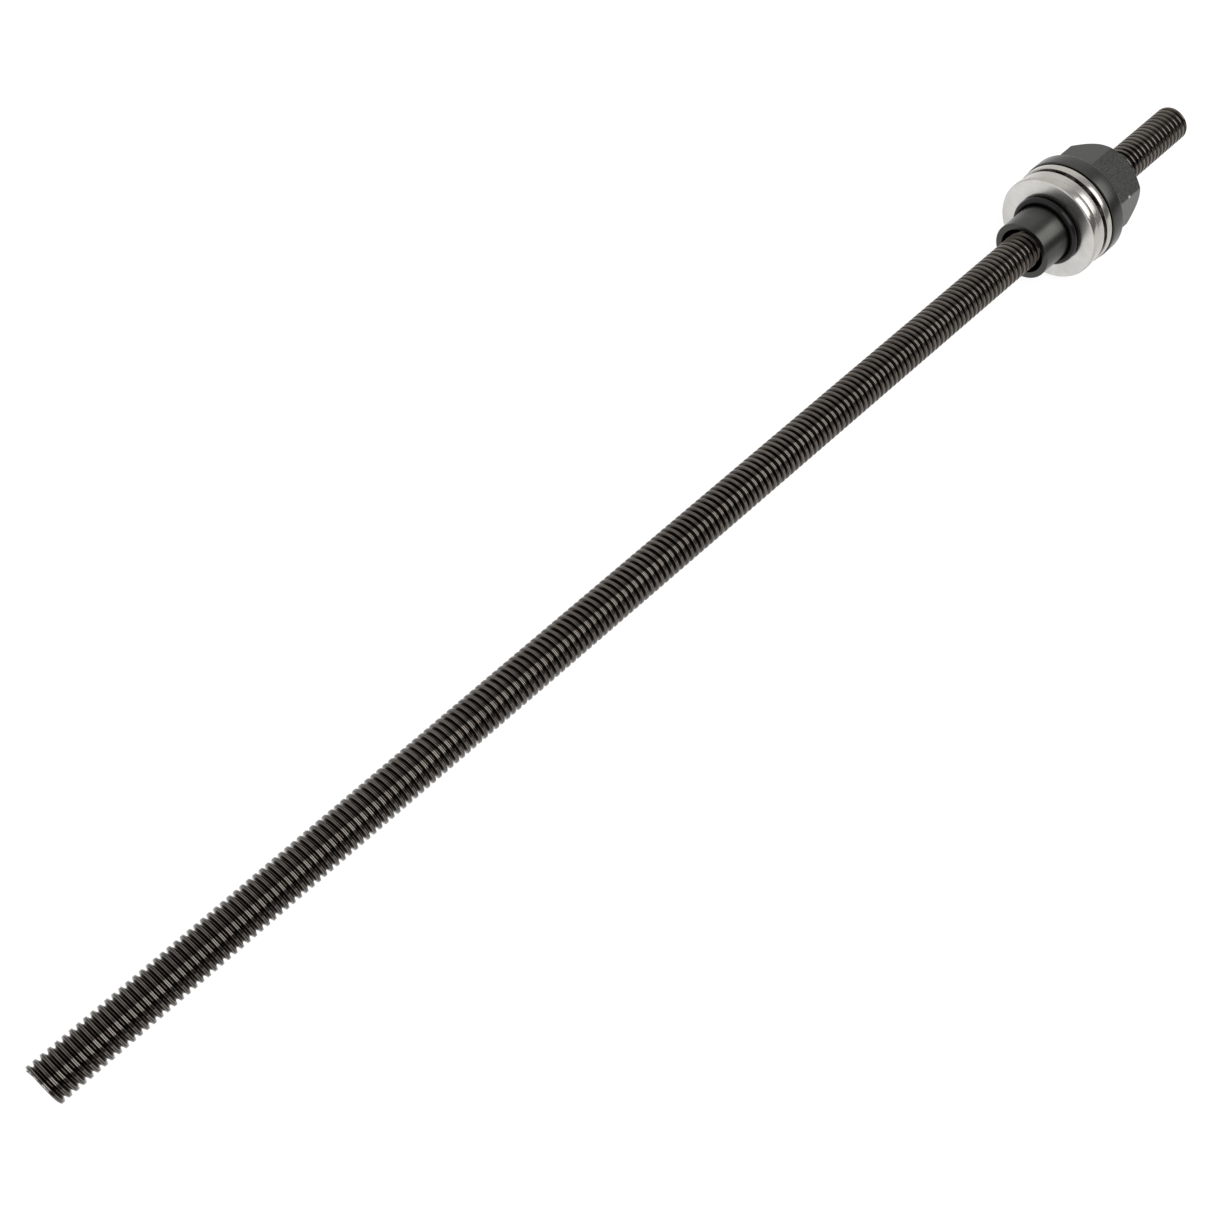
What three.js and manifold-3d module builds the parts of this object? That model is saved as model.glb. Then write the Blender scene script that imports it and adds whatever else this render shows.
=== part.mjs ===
// A threaded pressing spindle: a long screw rod, and a hexagon drive nut that runs along it and
// pushes through a single-direction thrust ball bearing.
//
// Units are millimetres. The rod lies along X with the middle of its length at the origin, and +Z
// is up. The bearing's free washer, which takes the thrust, faces -X.

import * as THREE from "three";
import { mergeVertices } from "three/addons/utils/BufferGeometryUtils.js";
import Module from "manifold-3d";

// ---- driving dimensions ----

const FIT_GAP = 0.3; // between pieces that touch or bear on each other
const TURN = 2 * Math.PI;
const ROUND_SIDES = 32; // flats round a turned piece
const OVERCUT = 1; // how far a cutting or joining shape runs past the piece
const WELD_DISTANCE = 1e-5;

const ROD_LENGTH = 450;
const CREST_RADIUS = 6;
const ROOT_RADIUS = 4.75;
const PITCH = 2; // one start, right-hand
const FIRST_CREST = 0.3; // from the rod's front end to where a crest crosses its +Y side
const ROD_COLUMNS = 8; // points round one turn of the rod's thread
const ROD_CHAMFER = 1;

const NUT_LENGTH = 43.5; // from the sleeve's mouth to the hexagon's outer face
const NUT_FACE_FROM_ROD_END = 39; // how much rod shows behind the hexagon
const SLEEVE_RADIUS = 9.7;
const SLEEVE_CHAMFER = 0.4;
const FLANGE_RADIUS = 17.8;
const FLANGE_THICKNESS = 5;
const FLANGE_CHAMFER = 0.5;
const HEX_ACROSS_FLATS = 27;
const HEX_THICKNESS = 15;
const HEX_FACE_RADIUS = 13.3; // the circle that the corner chamfer leaves on the outer face
const HEX_CHAMFER_DEPTH = 2.3;
const MOUTH_RADIUS = 7.5;
const MOUTH_DEPTH = 14;
const MOUTH_CONE = 1; // length of the cone at the mouth's bottom
const NUT_COLUMNS = 16; // points round one turn of the nut's thread

const BEARING_LENGTH = 10;
const BEARING_RADIUS = 17.5;
const WASHER_THICKNESS = 2.7;
const WASHER_CHAMFER = 0.5;
const OPEN_BACK_RADIUS = 12; // from here out, a washer's back is clear of the O-ring
const SHAFT_WASHER_BORE = 10;
const HOUSING_WASHER_BORE = 10.5;
const PITCH_CIRCLE_RADIUS = 13.75;
const BALL_RADIUS = 2.778;
const BALL_COUNT = 13;
const BALL_DETAIL = 1; // how often an icosahedron's faces are split
const GROOVE_STEPS = 4; // chords across a raceway's arc
const CAGE_INNER_RADIUS = 10.3;
const CAGE_OUTER_RADIUS = 17.1;
const CAGE_FRONT = 2; // how far the cage reaches either way from the balls' plane
const CAGE_BACK = 0.8;
const POCKET_RADIUS = 2.93;
const POCKET_SIDES = 12;

const O_RING_SECTION = 1; // radius of the rubber's own section
const O_RING_SECTION_SIDES = 8;

// ---- where things stand along the rod ----

const ROD_START = -ROD_LENGTH / 2;
const ROD_END = ROD_LENGTH / 2;
const THREAD_START = ROD_START + FIRST_CREST;
const HEX_FACE = ROD_END - NUT_FACE_FROM_ROD_END;
const HEX_START = HEX_FACE - HEX_THICKNESS;
const FLANGE_START = HEX_START - FLANGE_THICKNESS;
const THRUST_FACE = FLANGE_START - BEARING_LENGTH;
const BALL_PLANE = THRUST_FACE + BEARING_LENGTH / 2;
const SLEEVE_FACE = HEX_FACE - NUT_LENGTH;
const O_RING_PLANE = THRUST_FACE - FIT_GAP - O_RING_SECTION;
const O_RING_RADIUS = SLEEVE_RADIUS + FIT_GAP / 3 + O_RING_SECTION;

// ---- materials ----

const metal = (color, roughness) =>
  new THREE.MeshStandardMaterial({ color, roughness, metalness: 1 });

const BLACK_OXIDE = metal(0x1b1815, 0.35);
const CHARCOAL_STEEL = metal(0x4a4a48, 0.5);
const GROUND_STEEL = metal(0xb9b6ae, 0.3);
const PRESSED_STEEL = metal(0xd2d0ca, 0.25);
const POLISHED_STEEL = metal(0xe4e4e4, 0.08);
const BLACK_RUBBER = new THREE.MeshStandardMaterial({ color: 0x141414, roughness: 0.55 });

// ---- solids ----

const wasm = await Module();
wasm.setup();

/** The triangles of a geometry as a solid that can be joined and cut. */
function solidOf(geometry) {
  const bare = geometry.clone();
  bare.deleteAttribute("normal");
  bare.deleteAttribute("uv");
  const merged = mergeVertices(bare, WELD_DISTANCE);
  const corners = merged.index.array;
  const kept = [];
  for (let i = 0; i < corners.length; i += 3) {
    const [a, b, c] = corners.slice(i, i + 3);
    // a revolved profile that starts on the axis has triangles there with no area
    if (a !== b && b !== c && c !== a) kept.push(a, b, c);
  }
  const mesh = new wasm.Mesh({
    numProp: 3,
    vertProperties: new Float32Array(merged.attributes.position.array),
    triVerts: new Uint32Array(kept),
  });
  return new wasm.Manifold(mesh);
}

/** A solid's triangles as a geometry with flat shading. */
function geometryOf(solid) {
  const mesh = solid.getMesh();
  const shared = new THREE.BufferGeometry();
  shared.setAttribute("position", new THREE.BufferAttribute(mesh.vertProperties, 3));
  shared.setIndex(new THREE.BufferAttribute(mesh.triVerts, 1));
  const geometry = shared.toNonIndexed();
  geometry.computeVertexNormals();
  return geometry;
}

function addPiece(parent, name, geometry, material) {
  const mesh = new THREE.Mesh(geometry, material);
  mesh.name = name;
  parent.add(mesh);
  return mesh;
}

/** A profile of [x, radius] pairs turned about the X axis. */
function turned(profile, sides = ROUND_SIDES) {
  const points = profile.map(([x, radius]) => new THREE.Vector2(radius, x));
  return new THREE.LatheGeometry(points, sides).rotateZ(-Math.PI / 2);
}

/** The same, for a profile that closes on itself instead of starting and ending on the axis. */
function turnedRing(profile, sides = ROUND_SIDES) {
  return turned([...profile, profile[0]], sides);
}

/**
 * A bar with a V thread wound right-handed round +X. Its points stand in columns round the bar.
 * Each column starts a little further along than the one before, and after a full turn the
 * columns meet one pitch on, so the last column is the first one again.
 */
function threadedBar({ start, pitches, columns, crest, root }) {
  const profile = [crest, root]; // evenly spaced along one pitch
  const rows = pitches * profile.length;
  const positions = [];
  const index = new Map();
  const pointAt = (column, row) => {
    if (column === columns) return pointAt(0, row + profile.length);
    const key = `${column} ${row}`;
    if (!index.has(key)) {
      const angle = (TURN * column) / columns;
      const radius = profile[row % profile.length];
      const x = start + PITCH * (row / profile.length + column / columns);
      index.set(key, positions.length / 3);
      positions.push(x, radius * Math.cos(angle), radius * Math.sin(angle));
    }
    return index.get(key);
  };
  const axisPoint = (x) => positions.push(x, 0, 0) / 3 - 1;

  const triangles = [];
  for (let column = 0; column < columns; column++) {
    for (let row = 0; row < rows - 1; row++) {
      const here = pointAt(column, row);
      const ahead = pointAt(column, row + 1);
      const beside = pointAt(column + 1, row);
      const across = pointAt(column + 1, row + 1);
      triangles.push(here, beside, across, here, across, ahead);
    }
  }

  // each end is a fan from the axis to one helical turn and the step that closes it
  const endLoop = (row) => {
    const loop = [];
    for (let column = 0; column <= columns; column++) loop.push(pointAt(column, row));
    for (let step = profile.length - 1; step > 0; step--) loop.push(pointAt(0, row + step));
    return loop;
  };
  const fan = (centre, loop, flip) => {
    loop.forEach((point, i) => {
      const next = loop[(i + 1) % loop.length];
      triangles.push(centre, flip ? next : point, flip ? point : next);
    });
  };
  fan(axisPoint(start + PITCH / 2), endLoop(0), true);
  fan(axisPoint(start + PITCH * pitches), endLoop(rows - 1), false);

  const bar = new THREE.BufferGeometry();
  bar.setAttribute("position", new THREE.Float32BufferAttribute(positions, 3));
  bar.setIndex(triangles);
  return bar;
}

// ---- pieces ----

/** The rod: thread from end to end, cut square in front and lightly chamfered behind. */
function makeRod() {
  const thread = threadedBar({
    start: THREAD_START - 2 * PITCH,
    pitches: ROD_LENGTH / PITCH + 4,
    columns: ROD_COLUMNS,
    crest: CREST_RADIUS,
    root: ROOT_RADIUS,
  });
  const blank = turned([
    [ROD_START, 0],
    [ROD_START, CREST_RADIUS + OVERCUT],
    [ROD_END - ROD_CHAMFER - OVERCUT, CREST_RADIUS + OVERCUT],
    [ROD_END, CREST_RADIUS - ROD_CHAMFER],
    [ROD_END, 0],
  ]);
  return geometryOf(solidOf(thread).intersect(solidOf(blank)));
}

/** The hexagon, two of its corners straight up and down, chamfered on its outer face. */
function makeHexagon() {
  const cornerRadius = HEX_ACROSS_FLATS / Math.sqrt(3);
  const outline = new THREE.Shape();
  for (let corner = 0; corner < 6; corner++) {
    const angle = (TURN * corner) / 6;
    const [x, y] = [cornerRadius * Math.cos(angle), cornerRadius * Math.sin(angle)];
    if (corner === 0) outline.moveTo(x, y);
    else outline.lineTo(x, y);
  }
  outline.closePath();
  // it reaches into the flange, so that the two join
  const depth = HEX_THICKNESS + OVERCUT;
  const prism = new THREE.ExtrudeGeometry(outline, { depth, bevelEnabled: false });
  prism.rotateY(Math.PI / 2).translate(HEX_FACE - depth, 0, 0);
  const slope = (cornerRadius - HEX_FACE_RADIUS) / HEX_CHAMFER_DEPTH;
  const envelope = turned([
    [HEX_FACE - depth - OVERCUT, 0],
    [HEX_FACE - depth - OVERCUT, cornerRadius + slope * OVERCUT],
    [HEX_FACE - HEX_CHAMFER_DEPTH - OVERCUT, cornerRadius + slope * OVERCUT],
    [HEX_FACE, HEX_FACE_RADIUS],
    [HEX_FACE, 0],
  ]);
  return solidOf(prism).intersect(solidOf(envelope));
}

/** Sleeve, flange and hexagon in one piece, threaded behind a wide mouth. */
function makeDriveNut() {
  const body = turned([
    [SLEEVE_FACE, 0],
    [SLEEVE_FACE, SLEEVE_RADIUS - SLEEVE_CHAMFER],
    [SLEEVE_FACE + SLEEVE_CHAMFER, SLEEVE_RADIUS],
    [FLANGE_START, SLEEVE_RADIUS],
    [FLANGE_START, FLANGE_RADIUS - FLANGE_CHAMFER],
    [FLANGE_START + FLANGE_CHAMFER, FLANGE_RADIUS],
    [HEX_START - FLANGE_CHAMFER, FLANGE_RADIUS],
    [HEX_START, FLANGE_RADIUS - FLANGE_CHAMFER],
    [HEX_START, 0],
  ]);
  const mouth = turned([
    [SLEEVE_FACE - OVERCUT, 0],
    [SLEEVE_FACE - OVERCUT, MOUTH_RADIUS],
    [SLEEVE_FACE + MOUTH_DEPTH, MOUTH_RADIUS],
    [SLEEVE_FACE + MOUTH_DEPTH + MOUTH_CONE, CREST_RADIUS],
    [SLEEVE_FACE + MOUTH_DEPTH + MOUTH_CONE, 0],
  ]);
  // it starts a whole number of pitches from the rod's own thread, so that the two mesh
  const pitchesIn = Math.floor((SLEEVE_FACE + MOUTH_DEPTH - ROD_START) / PITCH) - 1;
  const start = THREAD_START + pitchesIn * PITCH;
  const tap = threadedBar({
    start,
    pitches: Math.ceil((HEX_FACE - start) / PITCH) + 2,
    columns: NUT_COLUMNS,
    crest: CREST_RADIUS + FIT_GAP,
    root: ROOT_RADIUS + FIT_GAP,
  });
  const nut = solidOf(body).add(makeHexagon()).subtract(solidOf(mouth)).subtract(solidOf(tap));
  return geometryOf(nut);
}

/**
 * A bearing washer with a raceway. Its flat back is at `back`, and the balls run at `toBalls`
 * times its thickness beyond it, +1 for +X or -1 for -X.
 */
function makeWasher(back, toBalls, boreRadius) {
  const at = (depth) => back + toBalls * depth;
  const grooveRadius = BALL_RADIUS + FIT_GAP;
  const ballDepth = Math.abs(BALL_PLANE - back);
  const halfAngle = Math.acos((ballDepth - WASHER_THICKNESS) / grooveRadius);
  const raceway = [];
  for (let step = 0; step <= GROOVE_STEPS; step++) {
    const angle = halfAngle * (1 - (2 * step) / GROOVE_STEPS);
    raceway.push([
      at(ballDepth - grooveRadius * Math.cos(angle)),
      PITCH_CIRCLE_RADIUS + grooveRadius * Math.sin(angle),
    ]);
  }
  const outline = [
    [at(0), boreRadius + WASHER_CHAMFER],
    [at(0), OPEN_BACK_RADIUS],
    [at(0), BEARING_RADIUS - WASHER_CHAMFER],
    [at(WASHER_CHAMFER), BEARING_RADIUS],
    [at(WASHER_THICKNESS), BEARING_RADIUS],
    ...raceway,
    [at(WASHER_THICKNESS), boreRadius],
    [at(WASHER_CHAMFER), boreRadius],
  ];
  return turnedRing(toBalls > 0 ? outline : outline.reverse());
}

/** Puts an object on the balls' circle, a share of a turn round it. */
function onPitchCircle(object, share) {
  const angle = TURN * share;
  object.position.set(
    BALL_PLANE,
    PITCH_CIRCLE_RADIUS * Math.cos(angle),
    PITCH_CIRCLE_RADIUS * Math.sin(angle),
  );
  return object;
}

/** The pressed cage: a flat ring with a round pocket for each ball. */
function makeCage() {
  const [front, back] = [BALL_PLANE - CAGE_FRONT, BALL_PLANE + CAGE_BACK];
  let cage = solidOf(
    turnedRing([
      [front, CAGE_INNER_RADIUS],
      [front, CAGE_OUTER_RADIUS],
      [back, CAGE_OUTER_RADIUS],
      [back, CAGE_INNER_RADIUS],
    ]),
  );
  const depth = 2 * (CAGE_FRONT + CAGE_BACK);
  for (let ball = 0; ball < BALL_COUNT; ball++) {
    const pocket = new THREE.CylinderGeometry(POCKET_RADIUS, POCKET_RADIUS, depth, POCKET_SIDES);
    pocket.rotateZ(Math.PI / 2);
    const { x, y, z } = onPitchCircle(new THREE.Object3D(), ball / BALL_COUNT).position;
    cage = cage.subtract(solidOf(pocket.translate(x, y, z)));
  }
  return geometryOf(cage);
}

/** A rubber ring on the sleeve that keeps the bearing from sliding off. */
function makeORing() {
  const section = [];
  for (let side = 0; side < O_RING_SECTION_SIDES; side++) {
    const angle = (-TURN * side) / O_RING_SECTION_SIDES;
    section.push([
      O_RING_PLANE + O_RING_SECTION * Math.cos(angle),
      O_RING_RADIUS + O_RING_SECTION * Math.sin(angle),
    ]);
  }
  return turnedRing(section);
}

// ---- assembly ----

const assembly = new THREE.Group();
addPiece(assembly, "threaded_spindle", makeRod(), BLACK_OXIDE);

const nutGroup = new THREE.Group();
assembly.add(nutGroup);
addPiece(nutGroup, "drive_nut", makeDriveNut(), CHARCOAL_STEEL);
addPiece(nutGroup, "retaining_o_ring", makeORing(), BLACK_RUBBER);

const bearing = new THREE.Group();
nutGroup.add(bearing);
const housingWasher = makeWasher(THRUST_FACE, 1, HOUSING_WASHER_BORE);
const shaftWasher = makeWasher(FLANGE_START - FIT_GAP, -1, SHAFT_WASHER_BORE);
addPiece(bearing, "housing_washer", housingWasher, GROUND_STEEL);
addPiece(bearing, "shaft_washer", shaftWasher, GROUND_STEEL);
addPiece(bearing, "ball_cage", makeCage(), PRESSED_STEEL);

for (let ball = 0; ball < BALL_COUNT; ball++) {
  const name = `ball_${String(ball + 1).padStart(2, "0")}`;
  const sphere = new THREE.IcosahedronGeometry(BALL_RADIUS, BALL_DETAIL);
  onPitchCircle(addPiece(bearing, name, sphere, POLISHED_STEEL), ball / BALL_COUNT);
}

export default assembly;
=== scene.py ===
"""The looks of a threaded pressing spindle with its drive nut and thrust bearing.

Every piece is a fine mesh that stands for one CAD node. All of them are turned or wound round the
rod's axis, which is X, so a place is given as (x, r): how far along the rod, and how far from its
axis. Lengths are in metres, and angles round the axis run from +Y towards +Z.
"""

import math

import bmesh
import bpy
from mathutils import Euler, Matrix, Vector


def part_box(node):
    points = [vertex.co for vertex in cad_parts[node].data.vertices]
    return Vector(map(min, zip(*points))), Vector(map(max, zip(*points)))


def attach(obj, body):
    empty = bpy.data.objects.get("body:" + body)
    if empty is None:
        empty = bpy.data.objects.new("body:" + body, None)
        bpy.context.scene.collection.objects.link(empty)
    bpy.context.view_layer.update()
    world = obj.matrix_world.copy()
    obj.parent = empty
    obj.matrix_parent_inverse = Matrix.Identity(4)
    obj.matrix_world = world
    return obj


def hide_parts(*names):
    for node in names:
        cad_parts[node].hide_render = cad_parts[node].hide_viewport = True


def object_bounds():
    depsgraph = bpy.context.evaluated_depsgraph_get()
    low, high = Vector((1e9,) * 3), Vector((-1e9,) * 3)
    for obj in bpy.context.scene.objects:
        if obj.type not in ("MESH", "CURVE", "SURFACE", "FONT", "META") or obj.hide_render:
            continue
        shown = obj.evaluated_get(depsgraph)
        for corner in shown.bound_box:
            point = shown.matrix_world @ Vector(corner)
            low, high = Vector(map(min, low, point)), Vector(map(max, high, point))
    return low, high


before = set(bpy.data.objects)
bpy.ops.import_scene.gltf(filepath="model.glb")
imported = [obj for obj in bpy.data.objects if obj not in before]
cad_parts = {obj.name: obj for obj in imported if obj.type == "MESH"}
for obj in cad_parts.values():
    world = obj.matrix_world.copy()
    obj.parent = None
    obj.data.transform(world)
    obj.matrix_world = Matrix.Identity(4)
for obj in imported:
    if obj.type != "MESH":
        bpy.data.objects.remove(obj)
cad_low, cad_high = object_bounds()

MM = 0.001
TURN = 2 * math.pi

# ---- sizes, from the frame where it has them ----

ROD_LOW, ROD_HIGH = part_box("threaded_spindle")
ROD_START, ROD_END = ROD_LOW.x, ROD_HIGH.x
CREST = ROD_HIGH.z
ROOT = CREST - 1.1 * MM
PITCH = 2 * MM
ROD_SEGMENTS = 38
ROD_CHAMFER = 0.9 * MM
FIRST_CREST = ROD_START + 0.3 * MM
THREAD_CLEARANCE = 0.15 * MM
CUT_SLOPE = 0.05

NUT_LOW, NUT_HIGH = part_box("drive_nut")
SLEEVE_FACE, HEX_FACE = NUT_LOW.x, NUT_HIGH.x
FLANGE_R = NUT_HIGH.y
HEX_START = HEX_FACE - 15 * MM
FLANGE_START = HEX_START - 5 * MM
SLEEVE_R = 9.7 * MM
MOUTH_R = 7.5 * MM
MOUTH_DEPTH = 14 * MM
HEX_FLAT = 13.5 * MM
HEX_CORNER_ROUND = 0.35 * MM
HEX_FACE_R = 13.3 * MM
CORNER_DENT = (HEX_FACE - 8 * MM, -HEX_FLAT, 7.8 * MM)
NUT_THREAD_START = SLEEVE_FACE + MOUTH_DEPTH + 1 * MM
NUT_THREAD_END = HEX_FACE - 0.8 * MM

FRONT_LOW, FRONT_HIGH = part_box("housing_washer")
REAR_LOW, REAR_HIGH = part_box("shaft_washer")
WASHER_R = FRONT_HIGH.y
FRONT_BORE_R = 10.5 * MM
REAR_BORE_R = 10 * MM
BALL_CIRCLE_R = 13.75 * MM
BALL_R = 2.778 * MM
# CAD leaves this gap between the bearing and the flange
FIT_GAP = 0.3 * MM
BALL_PLANE = (FRONT_LOW.x + REAR_HIGH.x + FIT_GAP) / 2
BALL_COUNT = 13
# the raceways and the cage's pockets are this much wider than the balls
SOCKET_R = BALL_R + 0.12 * MM
CAGE_BORE_R = 10.4 * MM

CAGE_LOW, CAGE_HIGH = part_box("ball_cage")
RING_LOW, RING_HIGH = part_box("retaining_o_ring")
FLOOR_Z = cad_low.z - 0.05 * MM

ROUND_COLUMNS = 192
ARC_STEPS = 4
SHARP_ANGLE = math.radians(32)

# ---- mesh helpers ----


def new_piece(name, body, replaced, material, mesh):
    """A finished piece that rides on a body and stands for a CAD node."""
    mesh.materials.append(material)
    for face in mesh.polygons:
        face.use_smooth = True
    mesh.set_sharp_from_angle(angle=SHARP_ANGLE)
    piece = bpy.data.objects.new(name, mesh)
    bpy.context.scene.collection.objects.link(piece)
    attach(piece, body)
    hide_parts(replaced)
    return piece


def mesh_of(name, points, faces):
    """A mesh with all its faces turned outwards."""
    mesh = bpy.data.meshes.new(name)
    mesh.from_pydata(points, [], faces)
    work = bmesh.new()
    work.from_mesh(mesh)
    bmesh.ops.recalc_face_normals(work, faces=work.faces)
    work.to_mesh(mesh)
    work.free()
    return mesh


def rounded(corners):
    """A closed outline of (x, r, corner radius) with its corners turned into arcs."""
    outline = []
    count = len(corners)
    most = 0.45  # of a side, so that the arcs at its two ends never meet
    for i, (x, r, radius) in enumerate(corners):
        here = Vector((x, r))
        before = Vector(corners[i - 1][:2]) - here
        after = Vector(corners[(i + 1) % count][:2]) - here
        if radius <= 0:
            outline.append((x, r))
            continue
        half = before.angle(after) / 2
        reach = min(radius / math.tan(half), most * before.length, most * after.length)
        start, end = here + before.normalized() * reach, here + after.normalized() * reach
        for step in range(ARC_STEPS + 1):
            # a quadratic curve is close enough to an arc at these sizes
            t = step / ARC_STEPS
            point = (1 - t) ** 2 * start + 2 * t * (1 - t) * here + t**2 * end
            outline.append(tuple(point))
    return outline


def turned_mesh(name, rows, angles):
    """A closed grid: each row is (x, r), or a function of the angle that gives them."""
    points, faces = [], []
    for row in rows:
        for angle in angles:
            x, r = row(angle) if callable(row) else row
            points.append((x, r * math.cos(angle), r * math.sin(angle)))
    wide, tall = len(angles), len(rows)
    for i in range(tall):
        for j in range(wide):
            below, above = i * wide, (i + 1) % tall * wide
            side = (j + 1) % wide
            faces.append((below + j, below + side, above + side, above + j))
    return mesh_of(name, points, faces)


def even_angles():
    return [TURN * i / ROUND_COLUMNS for i in range(ROUND_COLUMNS)]


# ---- the thread ----

# half of the rolled thread's section, from the seam along the middle of its crest to its root,
# as shares of a pitch and of the thread's depth
SEAM_DEPTH = 0.1
HALF_SECTION = [(0.05, 0.0), (0.165, 0.012), (0.25, 0.15), (0.385, 0.84), (0.45, 0.98)]
SECTION = [(-u, d) for u, d in reversed(HALF_SECTION)] + [(0, SEAM_DEPTH)] + HALF_SECTION

# the burr's section as (how far it stands out of the near end, how far it is from the axis), in mm
BURR_SECTION = [(-0.25, 4.6), (0.05, 5.25), (0.42, 5.4), (0.12, 4.9)]
BURR_FOOT_R = ROOT - 0.4 * MM
BURR_FROM, BURR_TO = math.radians(-38), math.radians(48)
BURR_STEPS = 14


def section_radius(phase):
    """The rod's radius at a phase of its thread, in pitches from the middle of a crest."""
    u = abs((phase + 0.5) % 1 - 0.5)
    knots = [(0, 0)] + HALF_SECTION + [(0.5, 1)]
    for (u0, d0), (u1, d1) in zip(knots, knots[1:]):
        if u <= u1:
            depth = d0 + (d1 - d0) * (u - u0) / (u1 - u0)
            return CREST - depth * (CREST - ROOT)
    return ROOT


def near_end(y):
    """Where the sawn near end is along the rod; it slopes a little across the rod."""
    return ROD_START + CUT_SLOPE * (CREST - y)


def add_burr(work):
    """The sliver of thread that the saw left hanging on one side of the near end."""
    rings = []
    for step in range(BURR_STEPS + 1):
        share = step / BURR_STEPS
        angle = BURR_FROM + (BURR_TO - BURR_FROM) * share
        swell = math.sin(math.pi * share) ** 0.7
        ring = []
        for out, r in BURR_SECTION:
            x = near_end(CREST * math.cos(angle)) - out * MM * swell
            tip = BURR_FOOT_R + (r * MM - BURR_FOOT_R) * swell
            ring.append(work.verts.new((x, tip * math.cos(angle), tip * math.sin(angle))))
        rings.append(ring)
    corners = len(BURR_SECTION)
    for here, beside in zip(rings, rings[1:]):
        for i in range(corners):
            j = (i + 1) % corners
            work.faces.new((here[i], here[j], beside[j], beside[i]))
    work.faces.new(rings[0])
    work.faces.new(rings[-1])


def rod_mesh():
    """The thread, wound as one helical grid, sawn a little out of square at its near end."""
    per_pitch = len(SECTION)
    spare = 2  # pitches past each end, which the cuts take off
    pitches = round((ROD_END - ROD_START) / PITCH) + 2 * spare
    rows = pitches * per_pitch
    start = FIRST_CREST - spare * PITCH
    points = []

    def point(column, row):
        share, depth = SECTION[row % per_pitch]
        x = start + PITCH * (row // per_pitch + share + column / ROD_SEGMENTS)
        r = CREST - depth * (CREST - ROOT)
        r = min(r, CREST - ROD_CHAMFER + (ROD_END - x))
        angle = TURN * column / ROD_SEGMENTS
        return (x, r * math.cos(angle), r * math.sin(angle))

    # the first column has one more pitch of points, which the last column joins
    starts = []
    for column in range(ROD_SEGMENTS):
        starts.append(len(points))
        extra = per_pitch if column == 0 else 0
        points.extend(point(column, row) for row in range(rows + extra))
    faces = []
    for column in range(ROD_SEGMENTS):
        last = column == ROD_SEGMENTS - 1
        here = starts[column]
        beside = starts[0] + per_pitch if last else starts[column + 1]
        for row in range(rows - 1):
            faces.append((here + row, beside + row, beside + row + 1, here + row + 1))
    mesh = bpy.data.meshes.new("spindle_thread")
    mesh.from_pydata(points, [], faces)

    work = bmesh.new()
    work.from_mesh(mesh)
    near_cut = (near_end(0), (-1, -CUT_SLOPE, 0))
    far_cut = (ROD_END, (1, 0, 0))
    for x, outward in (near_cut, far_cut):
        everything = work.verts[:] + work.edges[:] + work.faces[:]
        cut = bmesh.ops.bisect_plane(
            work,
            geom=everything,
            dist=1e-9,
            plane_co=(x, 0, 0),
            plane_no=outward,
            clear_outer=True,
        )["geom_cut"]
        centre = work.verts.new((x, 0, 0))
        for edge in [item for item in cut if isinstance(item, bmesh.types.BMEdge)]:
            work.faces.new((edge.verts[0], edge.verts[1], centre))
    add_burr(work)
    bmesh.ops.recalc_face_normals(work, faces=work.faces)
    work.to_mesh(mesh)
    work.free()
    return mesh


# ---- the nut ----


def hex_outline():
    """(angle, radius) round the hexagon, whose corners point straight up and down."""
    outline = []
    flat_steps, corner_steps = 22, 5
    half_side = TURN / 12
    half_flat = (HEX_FLAT - HEX_CORNER_ROUND) * math.tan(half_side)
    centre_r = (HEX_FLAT - HEX_CORNER_ROUND) / math.cos(half_side)
    for side in range(6):
        middle = 2 * half_side * side
        for step in range(flat_steps + 1):
            across = half_flat * (2 * step / flat_steps - 1)
            outline.append((middle + math.atan2(across, HEX_FLAT), math.hypot(HEX_FLAT, across)))
        corner = middle + half_side
        for step in range(1, corner_steps):
            swing = half_side * (2 * step / corner_steps - 1)
            across = HEX_CORNER_ROUND * math.sin(swing)
            out = centre_r + HEX_CORNER_ROUND * math.cos(swing)
            outline.append((corner + math.atan2(across, out), math.hypot(out, across)))
    return outline


def side_row(hex_radius, x):
    """A row on the hexagon's sides."""
    return lambda angle: (x, hex_radius[angle])


def chamfer_row(hex_radius, part):
    """A row across the hexagon's corner chamfer, from its sides, 0, to its face, 1."""

    def row(angle):
        side_r = hex_radius[angle]
        drop = max(side_r - HEX_FACE_R, 0)
        return (HEX_FACE - drop * (1 - part), side_r + (min(HEX_FACE_R, side_r) - side_r) * part)

    return row


def lead_row(hex_radius, back):
    """A row on the hexagon's sides, a little before its chamfer."""

    def row(angle):
        x, r = chamfer_row(hex_radius, 0)(angle)
        return (x - back, r)

    return row


def outer_rows(hex_radius):
    """The nut from its mouth, over the sleeve and the flange, to the hexagon's end face."""
    sleeve = rounded(
        [
            (SLEEVE_FACE, MOUTH_R, 0.35 * MM),
            (SLEEVE_FACE, SLEEVE_R, 0.3 * MM),
            (FLANGE_START, SLEEVE_R, 0.2 * MM),
            (FLANGE_START, FLANGE_R, 0.45 * MM),
            (HEX_START, FLANGE_R, 0.5 * MM),
            (HEX_START, HEX_FLAT + 0.8 * MM, 0),
        ]
    )[:-1]
    foot = [side_row(hex_radius, x) for x in (HEX_START, HEX_START + 0.2 * MM)]
    leads = [lead_row(hex_radius, back) for back in (0.35 * MM, 0.08 * MM)]
    chamfer = [chamfer_row(hex_radius, part) for part in (0.06, 0.2, 0.5, 0.8, 0.94, 1)]
    return sleeve + foot + leads + chamfer + [(HEX_FACE, HEX_FACE_R - 0.3 * MM)]


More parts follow.
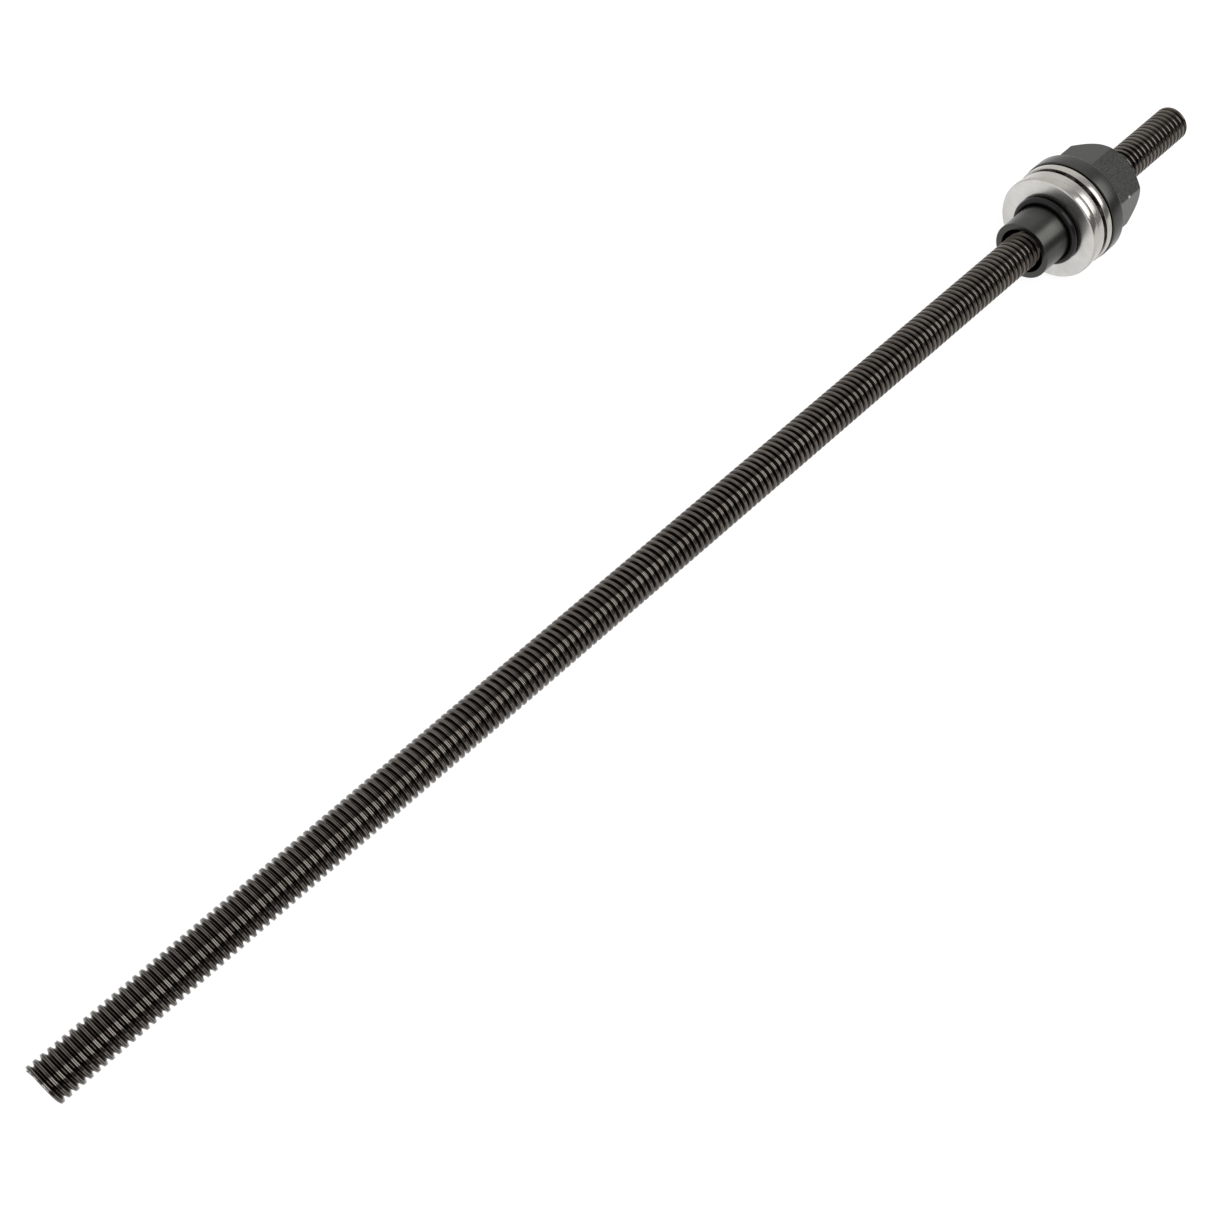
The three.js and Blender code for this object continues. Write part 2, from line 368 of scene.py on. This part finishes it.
def thread_row(x):
    """A row of the thread inside the nut, which matches the rod's thread."""

    def row(angle):
        phase = (x - FIRST_CREST) / PITCH - angle / TURN
        return (x, section_radius(phase) + THREAD_CLEARANCE)

    return row


def inner_rows():
    """The nut's inside, from the hexagon's end face back to the wide mouth in the sleeve."""
    rows_per_pitch = 12
    length = NUT_THREAD_END - NUT_THREAD_START
    count = round(length / PITCH * rows_per_pitch)
    mouth_end = SLEEVE_FACE + MOUTH_DEPTH
    return [
        (HEX_FACE, CREST + 0.8 * MM),
        (HEX_FACE - 0.3 * MM, CREST + 0.45 * MM),
        *[thread_row(NUT_THREAD_END - length * i / count) for i in range(count + 1)],
        (NUT_THREAD_START - 0.4 * MM, CREST + 0.5 * MM),
        (mouth_end, MOUTH_R - 0.3 * MM),
        (mouth_end - 0.3 * MM, MOUTH_R),
    ]


def nut_mesh():
    outline = hex_outline()
    angles = [angle for angle, _ in outline]
    return turned_mesh("nut_body", outer_rows(dict(outline)) + inner_rows(), angles)


# ---- the bearing ----


def washer_mesh(name, back, to_balls, bore_r):
    """A washer with its flat back at `back`; `to_balls` is +1 or -1, the way its raceway faces."""
    thick = FRONT_HIGH.x - FRONT_LOW.x
    face = back + to_balls * thick
    ball_depth = abs(BALL_PLANE - back)
    half = math.acos((ball_depth - thick) / SOCKET_R)
    groove_steps = 12
    groove = []
    for step in range(groove_steps + 1):
        angle = half * (1 - 2 * step / groove_steps)
        depth = ball_depth - SOCKET_R * math.cos(angle)
        groove.append((back + to_balls * depth, BALL_CIRCLE_R + SOCKET_R * math.sin(angle), 0))
    corners = [
        (back, bore_r, 0.5 * MM),
        (back, WASHER_R, 0.75 * MM),
        (face, WASHER_R, 0.3 * MM),
        *groove,
        (face, bore_r, 0.3 * MM),
    ]
    return turned_mesh(name, rounded(corners), even_angles())


def cage_mesh():
    """A ring with rounded edges and a round pocket for each ball."""
    front, back = CAGE_LOW.x, CAGE_HIGH.x
    outer_r = CAGE_HIGH.y
    corners = [
        (front, CAGE_BORE_R, 0.3 * MM),
        (front, outer_r, 0.25 * MM),
        (back, outer_r, 0.25 * MM),
        (back, CAGE_BORE_R, 0.3 * MM),
    ]
    mesh = turned_mesh("cage_ring", rounded(corners), even_angles())
    cutters = bpy.data.objects.new("cage_cutter", pocket_cutters(front, back))
    ring = bpy.data.objects.new("cage_blank", mesh)
    for item in (cutters, ring):
        bpy.context.scene.collection.objects.link(item)
    cut = ring.modifiers.new("pockets", "BOOLEAN")
    cut.operation = "DIFFERENCE"
    cut.solver = "EXACT"
    cut.object = cutters
    shape = ring.evaluated_get(bpy.context.evaluated_depsgraph_get())
    cage = bpy.data.meshes.new_from_object(shape)
    cage.name = "cage_band"
    for item in (cutters, ring):
        bpy.data.objects.remove(item)
    return cage


def ball_centre(ball):
    angle = TURN * ball / BALL_COUNT
    across = BALL_CIRCLE_R * math.cos(angle)
    return Vector((BALL_PLANE, across, BALL_CIRCLE_R * math.sin(angle)))


def pocket_cutters(front, back):
    """One drum for each ball, long enough to go right through the cage."""
    work = bmesh.new()
    for ball in range(BALL_COUNT):
        drum = bmesh.ops.create_cone(
            work,
            cap_ends=True,
            segments=48,
            radius1=SOCKET_R,
            radius2=SOCKET_R,
            depth=2 * (back - front),
        )["verts"]
        bmesh.ops.rotate(work, verts=drum, matrix=Euler((0, TURN / 4, 0)).to_matrix())
        bmesh.ops.translate(work, verts=drum, vec=ball_centre(ball))
    mesh = bpy.data.meshes.new("pocket_cutters")
    work.to_mesh(mesh)
    work.free()
    return mesh


def ball_mesh(name, ball):
    work = bmesh.new()
    sphere = bmesh.ops.create_uvsphere(work, u_segments=40, v_segments=24, radius=BALL_R)
    bmesh.ops.translate(work, verts=sphere["verts"], vec=ball_centre(ball))
    mesh = bpy.data.meshes.new(name)
    work.to_mesh(mesh)
    work.free()
    return mesh


def o_ring_mesh():
    section_r = (RING_HIGH.x - RING_LOW.x) / 2
    middle = (RING_HIGH.x + RING_LOW.x) / 2
    ring_r = RING_HIGH.z - section_r
    section_steps = 28
    rows = []
    for step in range(section_steps):
        angle = TURN * step / section_steps
        rows.append((middle + section_r * math.cos(angle), ring_r + section_r * math.sin(angle)))
    return turned_mesh("o_ring", rows, even_angles())


# ---- materials ----


class Nodes:
    """A short way to write a material's nodes."""

    def __init__(self, name):
        self.material = bpy.data.materials.new(name)
        self.material.use_nodes = True
        self.tree = self.material.node_tree
        self.shader = self.tree.nodes["Principled BSDF"]

    def put(self, socket, value):
        if isinstance(value, bpy.types.NodeSocket):
            self.tree.links.new(value, socket)
        elif isinstance(value, (tuple, list)) and len(value) == 3 and len(socket.default_value) == 4:
            socket.default_value = (*value, 1)
        else:
            socket.default_value = value

    def node(self, kind, output=0, inputs=None, **settings):
        node = self.tree.nodes.new(kind)
        for key, value in settings.items():
            setattr(node, key, value)
        for key, value in (inputs or {}).items():
            self.put(node.inputs[key], value)
        return node.outputs[output]

    def math(self, operation, a, b=0.0, clamp=False):
        return self.node(
            "ShaderNodeMath", inputs={0: a, 1: b}, operation=operation, use_clamp=clamp
        )

    def where(self):
        """The place of a point on the object."""
        return self.node("ShaderNodeTexCoord", "Object")

    def parts(self, where):
        """A place as (x, y, z, r), r being how far it is from the rod's axis."""
        split = self.tree.nodes.new("ShaderNodeSeparateXYZ")
        self.put(split.inputs[0], where)
        x, y, z = split.outputs
        squares = self.math("ADD", self.math("MULTIPLY", y, y), self.math("MULTIPLY", z, z))
        return x, y, z, self.math("SQRT", squares)

    def vector(self, x, y, z):
        return self.node("ShaderNodeCombineXYZ", inputs={0: x, 1: y, 2: z})

    def near(self, where, point, inner, outer):
        """1 within `inner` of a point, falling to 0 at `outer`."""
        settings = {"inputs": {0: where, 1: point}, "operation": "DISTANCE"}
        distance = self.node("ShaderNodeVectorMath", "Value", **settings)
        return self.spread(distance, outer, inner)

    def noise(self, vector, scale, detail=3.0, roughness=0.55):
        inputs = {"Vector": vector, "Scale": scale, "Detail": detail, "Roughness": roughness}
        return self.node("ShaderNodeTexNoise", "Fac", inputs)

    def rings(self, x, r, scale, detail):
        """Noise that is the same all the way round the axis, like the marks of turning."""
        along, out = self.math("MULTIPLY", x, scale), self.math("MULTIPLY", r, scale)
        return self.noise(self.vector(along, out, 0.0), 1.0, detail)

    def spread(self, value, low, high, new_low=0.0, new_high=1.0):
        inputs = {"Value": value, "From Min": low, "From Max": high}
        inputs |= {"To Min": new_low, "To Max": new_high}
        return self.node("ShaderNodeMapRange", inputs=inputs, clamp=True)

    def mix(self, factor, a, b):
        # a mix node keeps its colours in sockets 6 and 7, and its mixed colour in output 2
        return self.node("ShaderNodeMix", 2, {0: factor, 6: a, 7: b}, data_type="RGBA")

    def bump(self, height, distance, strength=1.0):
        inputs = {"Height": height, "Distance": distance, "Strength": strength}
        return self.node("ShaderNodeBump", inputs=inputs)

    def finish(self, inputs):
        for key, value in inputs.items():
            self.put(self.shader.inputs[key], value)
        return self.material


def black_oxide():
    """Oiled black oxide on the thread: near black in the roots, lighter along the crests, partly
    bare-metal wear and partly a painted highlight.
    """
    n = Nodes("black_oxide")
    where = n.where()
    x, y, z, r = n.parts(where)
    patches = n.noise(where, 90, 4)
    grain = n.noise(where, 1400, 3)
    crest = n.spread(r, ROOT + 0.86 * (CREST - ROOT), CREST - 0.03 * MM)
    # the crests are painted lighter: partly bare-metal wear, partly a painted highlight
    crest_wear_and_highlight = n.math("MULTIPLY", crest, n.spread(patches, 0.3, 0.7, 0.6, 1.0), clamp=True)
    dark = n.mix(patches, (0.04, 0.032, 0.027), (0.058, 0.046, 0.039))
    wear_and_highlight_colour = n.mix(crest_wear_and_highlight, dark, (0.135, 0.127, 0.115))
    at_end = n.spread(x, ROD_START + 0.9 * MM, ROD_START + 0.2 * MM)
    saw_marks = n.noise(n.vector(n.math("MULTIPLY", y, 9), z, 0.0), 600, 3)
    sawn = n.mix(saw_marks, (0.06, 0.056, 0.05), (0.2, 0.19, 0.175))
    rim = n.spread(r, ROOT - 0.5 * MM, ROOT)
    chips = n.math("MULTIPLY", rim, n.spread(n.noise(where, 800, 2), 0.52, 0.6))
    bare = n.mix(chips, sawn, (0.46, 0.45, 0.42))
    return n.finish(
        {
            "Base Color": n.mix(at_end, wear_and_highlight_colour, bare),
            "Metallic": 1.0,
            "Roughness": n.spread(grain, 0.3, 0.7, 0.1, 0.18),
            "Normal": n.bump(grain, 0.01 * MM, 0.4),
        }
    )


# the darkest and lightest specks of the hexagon's scale, on its upper sides and on its -Y side,
# where they are painted lighter as painted light from the key lamp
DULL_LOW, DULL_HIGH = (0.032, 0.033, 0.03), (0.1, 0.1, 0.092)
PAINTED_LIGHT_LOW, PAINTED_LIGHT_HIGH = (0.085, 0.085, 0.08), (0.19, 0.19, 0.18)


def charcoal_steel():
    """Satin blackened steel: turned smooth on the sleeve, coarse and speckled on the hexagon."""
    n = Nodes("charcoal_steel")
    where = n.where()
    x, y, _, r = n.parts(where)
    turning = n.rings(x, r, 6000, 2)
    speckle = n.noise(where, 1900, 4, 0.7)
    cloud = n.noise(where, 160, 3)
    on_hex = n.spread(x, HEX_START - 0.1 * MM, HEX_START + 0.1 * MM)
    off_hex = n.math("SUBTRACT", 1.0, on_hex)
    turned = n.mix(cloud, (0.052, 0.052, 0.048), (0.072, 0.072, 0.067))
    # painted light: the specks on the hexagon's -Y side, which faces the key lamp, are painted
    # lighter
    painted_light_side = n.spread(y, -HEX_FLAT + 0.3 * MM, -HEX_FLAT + 0.05 * MM)
    low, high = n.mix(painted_light_side, DULL_LOW, PAINTED_LIGHT_LOW), n.mix(painted_light_side, DULL_HIGH, PAINTED_LIGHT_HIGH)
    flecked = n.mix(n.spread(speckle, 0.4, 0.8), low, high)
    scaly = n.math("MULTIPLY", on_hex, n.spread(y, 0.5 * MM, -0.5 * MM, 0.25, 1.0))
    smooth = n.mix(on_hex, turned, (0.077, 0.077, 0.075))
    dent = n.near(where, CORNER_DENT, 0.25 * MM, 0.65 * MM)
    turned_rough = n.math("MULTIPLY", n.spread(turning, 0.3, 0.7, 0.25, 0.33), off_hex)
    scaly_rough = n.math("MULTIPLY", n.spread(speckle, 0.3, 0.7, 0.4, 0.55), on_hex)
    scaly_height = n.math("MULTIPLY", speckle, n.math("MULTIPLY", scaly, 4.0))
    height = n.math("ADD", n.math("MULTIPLY", turning, off_hex), scaly_height)
    return n.finish(
        {
            "Base Color": n.mix(dent, n.mix(scaly, smooth, flecked), (0.5, 0.5, 0.45)),
            "Metallic": 1.0,
            "Roughness": n.math("ADD", turned_rough, scaly_rough),
            "Normal": n.bump(height, 0.01 * MM, 0.5),
        }
    )


def ground_steel():
    """Bright ground bearing steel, with fine scratches that run round the axis."""
    n = Nodes("ground_steel")
    where = n.where()
    x, _, _, r = n.parts(where)
    scratch = n.rings(x, r, 9000, 3)
    stain = n.spread(n.noise(where, 200, 4), 0.35, 0.7)
    flat = n.mix(stain, (0.61, 0.6, 0.58), (0.52, 0.505, 0.485))
    # painted shade: the washers' round outer sides get a darker copy of the steel than their flat
    # faces
    side = n.mix(stain, (0.45, 0.435, 0.405), (0.38, 0.36, 0.33))
    on_side = n.spread(r, WASHER_R - 0.5 * MM, WASHER_R - 0.2 * MM)
    dullness = n.spread(on_side, 0.0, 1.0, 0.27, 0.17)
    return n.finish(
        {
            "Base Color": n.mix(on_side, flat, side),
            "Metallic": 1.0,
            "Roughness": n.math("ADD", dullness, n.spread(scratch, 0.3, 0.7, -0.05, 0.05)),
            "Anisotropic": 0.3,
            "Normal": n.bump(scratch, 0.006 * MM, 0.5),
            "Tangent": n.node("ShaderNodeTangent", direction_type="RADIAL", axis="X"),
        }
    )


def pressed_steel():
    """The cage's steel band, which is a little duller than the washers."""
    n = Nodes("pressed_steel")
    where = n.where()
    grain = n.noise(where, 1500, 3)
    return n.finish(
        {
            "Base Color": n.mix(n.noise(where, 260, 3), (0.5, 0.485, 0.46), (0.4, 0.385, 0.36)),
            "Metallic": 1.0,
            "Roughness": n.spread(grain, 0.3, 0.7, 0.18, 0.3),
            "Normal": n.bump(grain, 0.01 * MM, 0.4),
        }
    )


def dark_painted_ball_steel():
    """Bearing balls painted near black with little shine, which is painted shade for the dark gap
    between the cage and the shaft washer.
    """
    n = Nodes("dark_painted_ball_steel")
    mottle = n.noise(n.where(), 700, 3)
    return n.finish(
        {
            # painted shade: the balls' colour is near black
            "Base Color": n.mix(mottle, (0.03, 0.028, 0.024), (0.075, 0.07, 0.062)),
            "Metallic": 0.8,
            "Roughness": n.spread(mottle, 0.3, 0.7, 0.3, 0.45),
        }
    )


def black_rubber():
    """Oiled black rubber, with thin highlights."""
    n = Nodes("black_rubber")
    grain = n.noise(n.where(), 1800, 3)
    return n.finish(
        {
            "Base Color": n.mix(grain, (0.005, 0.005, 0.005), (0.012, 0.012, 0.012)),
            "Roughness": n.spread(grain, 0.3, 0.7, 0.12, 0.2),
            "Specular IOR Level": 0.2,
            "Normal": n.bump(grain, 0.01 * MM, 0.4),
        }
    )


def lit_table():
    """A table top that glows, so that the object throws next to no shadow on it."""
    grey = (0.2, 0.2, 0.2)
    looks = {"Base Color": grey, "Roughness": 0.9, "Emission Color": (1, 1, 1)}
    return Nodes("lit_table").finish(looks | {"Emission Strength": FLOOR_GLOW})


# ---- camera, light and table ----

CAMERA_LENS = 47.51
CAMERA_PLACE = Vector((-0.203516, -0.161263, 0.36987))
CAMERA_AZIMUTH = math.radians(-45.09)
CAMERA_ELEVATION = math.radians(58.38)

# the grey of the studio at degrees above the +Y horizon
SKY = [(0, 1.0), (45, 1.1), (70, 1.0), (80, 0.75), (88, 0.55), (105, 0.6), (145, 0.25), (180, 0.22)]
KEY_PLACE = Vector((0.2, -0.72, 0.96))
KEY_TARGET = Vector((0.2, 0, 0))
KEY_SIZE = (2.26, 0.94)
KEY_RADIANCE = 2.6
FLOOR_REACH = 6
FLOOR_GLOW = 0.85


def make_camera():
    data = bpy.data.cameras.new("camera")
    data.lens = CAMERA_LENS
    data.sensor_width = 36
    data.clip_start, data.clip_end = 0.01, 20
    camera = bpy.data.objects.new("camera", data)
    camera.location = CAMERA_PLACE
    camera.rotation_euler = (TURN / 4 - CAMERA_ELEVATION, 0, CAMERA_AZIMUTH)
    bpy.context.scene.collection.objects.link(camera)
    bpy.context.scene.camera = camera


def make_floor():
    """A pale table lit from below, just under the object."""
    mesh = bpy.data.meshes.new("floor")
    signs = ((-1, -1), (1, -1), (1, 1), (-1, 1))
    points = [(x * FLOOR_REACH, y * FLOOR_REACH, FLOOR_Z) for x, y in signs]
    mesh.from_pydata(points, [], [(0, 1, 2, 3)])
    mesh.materials.append(lit_table())
    floor = bpy.data.objects.new("floor", mesh)
    bpy.context.scene.collection.objects.link(floor)


def make_key_lamp():
    """The long strip of light that draws a bright line along every round side."""
    data = bpy.data.lights.new("key", "AREA")
    data.shape = "RECTANGLE"
    data.size, data.size_y = KEY_SIZE
    data.energy = KEY_RADIANCE * math.pi * data.size * data.size_y
    lamp = bpy.data.objects.new("key", data)
    lamp.location = KEY_PLACE
    lamp.rotation_euler = (KEY_TARGET - KEY_PLACE).to_track_quat("-Z", "Y").to_euler()
    bpy.context.scene.collection.objects.link(lamp)


def make_world():
    """A studio seen round the X axis, from the +Y horizon over the top to the -Y horizon."""
    world = bpy.data.worlds.new("studio")
    world.use_nodes = True
    tree = world.node_tree
    way = tree.nodes.new("ShaderNodeTexCoord").outputs["Generated"]
    split = tree.nodes.new("ShaderNodeSeparateXYZ")
    tree.links.new(way, split.inputs[0])
    angle = tree.nodes.new("ShaderNodeMath")
    angle.operation = "ARCTAN2"
    tree.links.new(split.outputs["Z"], angle.inputs[0])
    tree.links.new(split.outputs["Y"], angle.inputs[1])
    half_turns = tree.nodes.new("ShaderNodeMath")
    half_turns.operation = "DIVIDE"
    half_turns.inputs[1].default_value = math.pi
    tree.links.new(angle.outputs[0], half_turns.inputs[0])
    sky = tree.nodes.new("ShaderNodeValToRGB")
    tree.links.new(half_turns.outputs[0], sky.inputs[0])
    stops = sky.color_ramp.elements
    for _ in SKY[2:]:
        stops.new(0.5)
    for stop, (degrees, grey) in zip(stops, SKY):
        stop.position = degrees / 180
        stop.color = (grey, grey, grey, 1)
    background = tree.nodes["Background"]
    tree.links.new(sky.outputs[0], background.inputs["Color"])
    background.inputs["Strength"].default_value = 1
    bpy.context.scene.world = world


# ---- the object ----

make_camera()
make_floor()
make_world()
make_key_lamp()
bpy.context.scene.view_settings.view_transform = "Standard"

oxide, charcoal, ground = black_oxide(), charcoal_steel(), ground_steel()
pressed, dark_painted_balls, rubber = pressed_steel(), dark_painted_ball_steel(), black_rubber()

rod = new_piece("spindle_thread", "spindle", "threaded_spindle", oxide, rod_mesh())
nut = new_piece("nut_body", "nut", "drive_nut", charcoal, nut_mesh())
front = washer_mesh("front_washer", FRONT_LOW.x, 1, FRONT_BORE_R)
rear = washer_mesh("rear_washer", REAR_HIGH.x, -1, REAR_BORE_R)
new_piece("front_washer", "bearing_housing", "housing_washer", ground, front)
new_piece("rear_washer", "nut", "shaft_washer", ground, rear)
cage = new_piece("cage_band", "ball_set", "ball_cage", pressed, cage_mesh())
for ball in range(BALL_COUNT):
    name = f"bearing_ball_{ball + 1:02d}"
    piece = new_piece(name, "ball_set", f"ball_{ball + 1:02d}", dark_painted_balls, ball_mesh(name, ball))
new_piece("o_ring", "nut", "retaining_o_ring", rubber, o_ring_mesh())
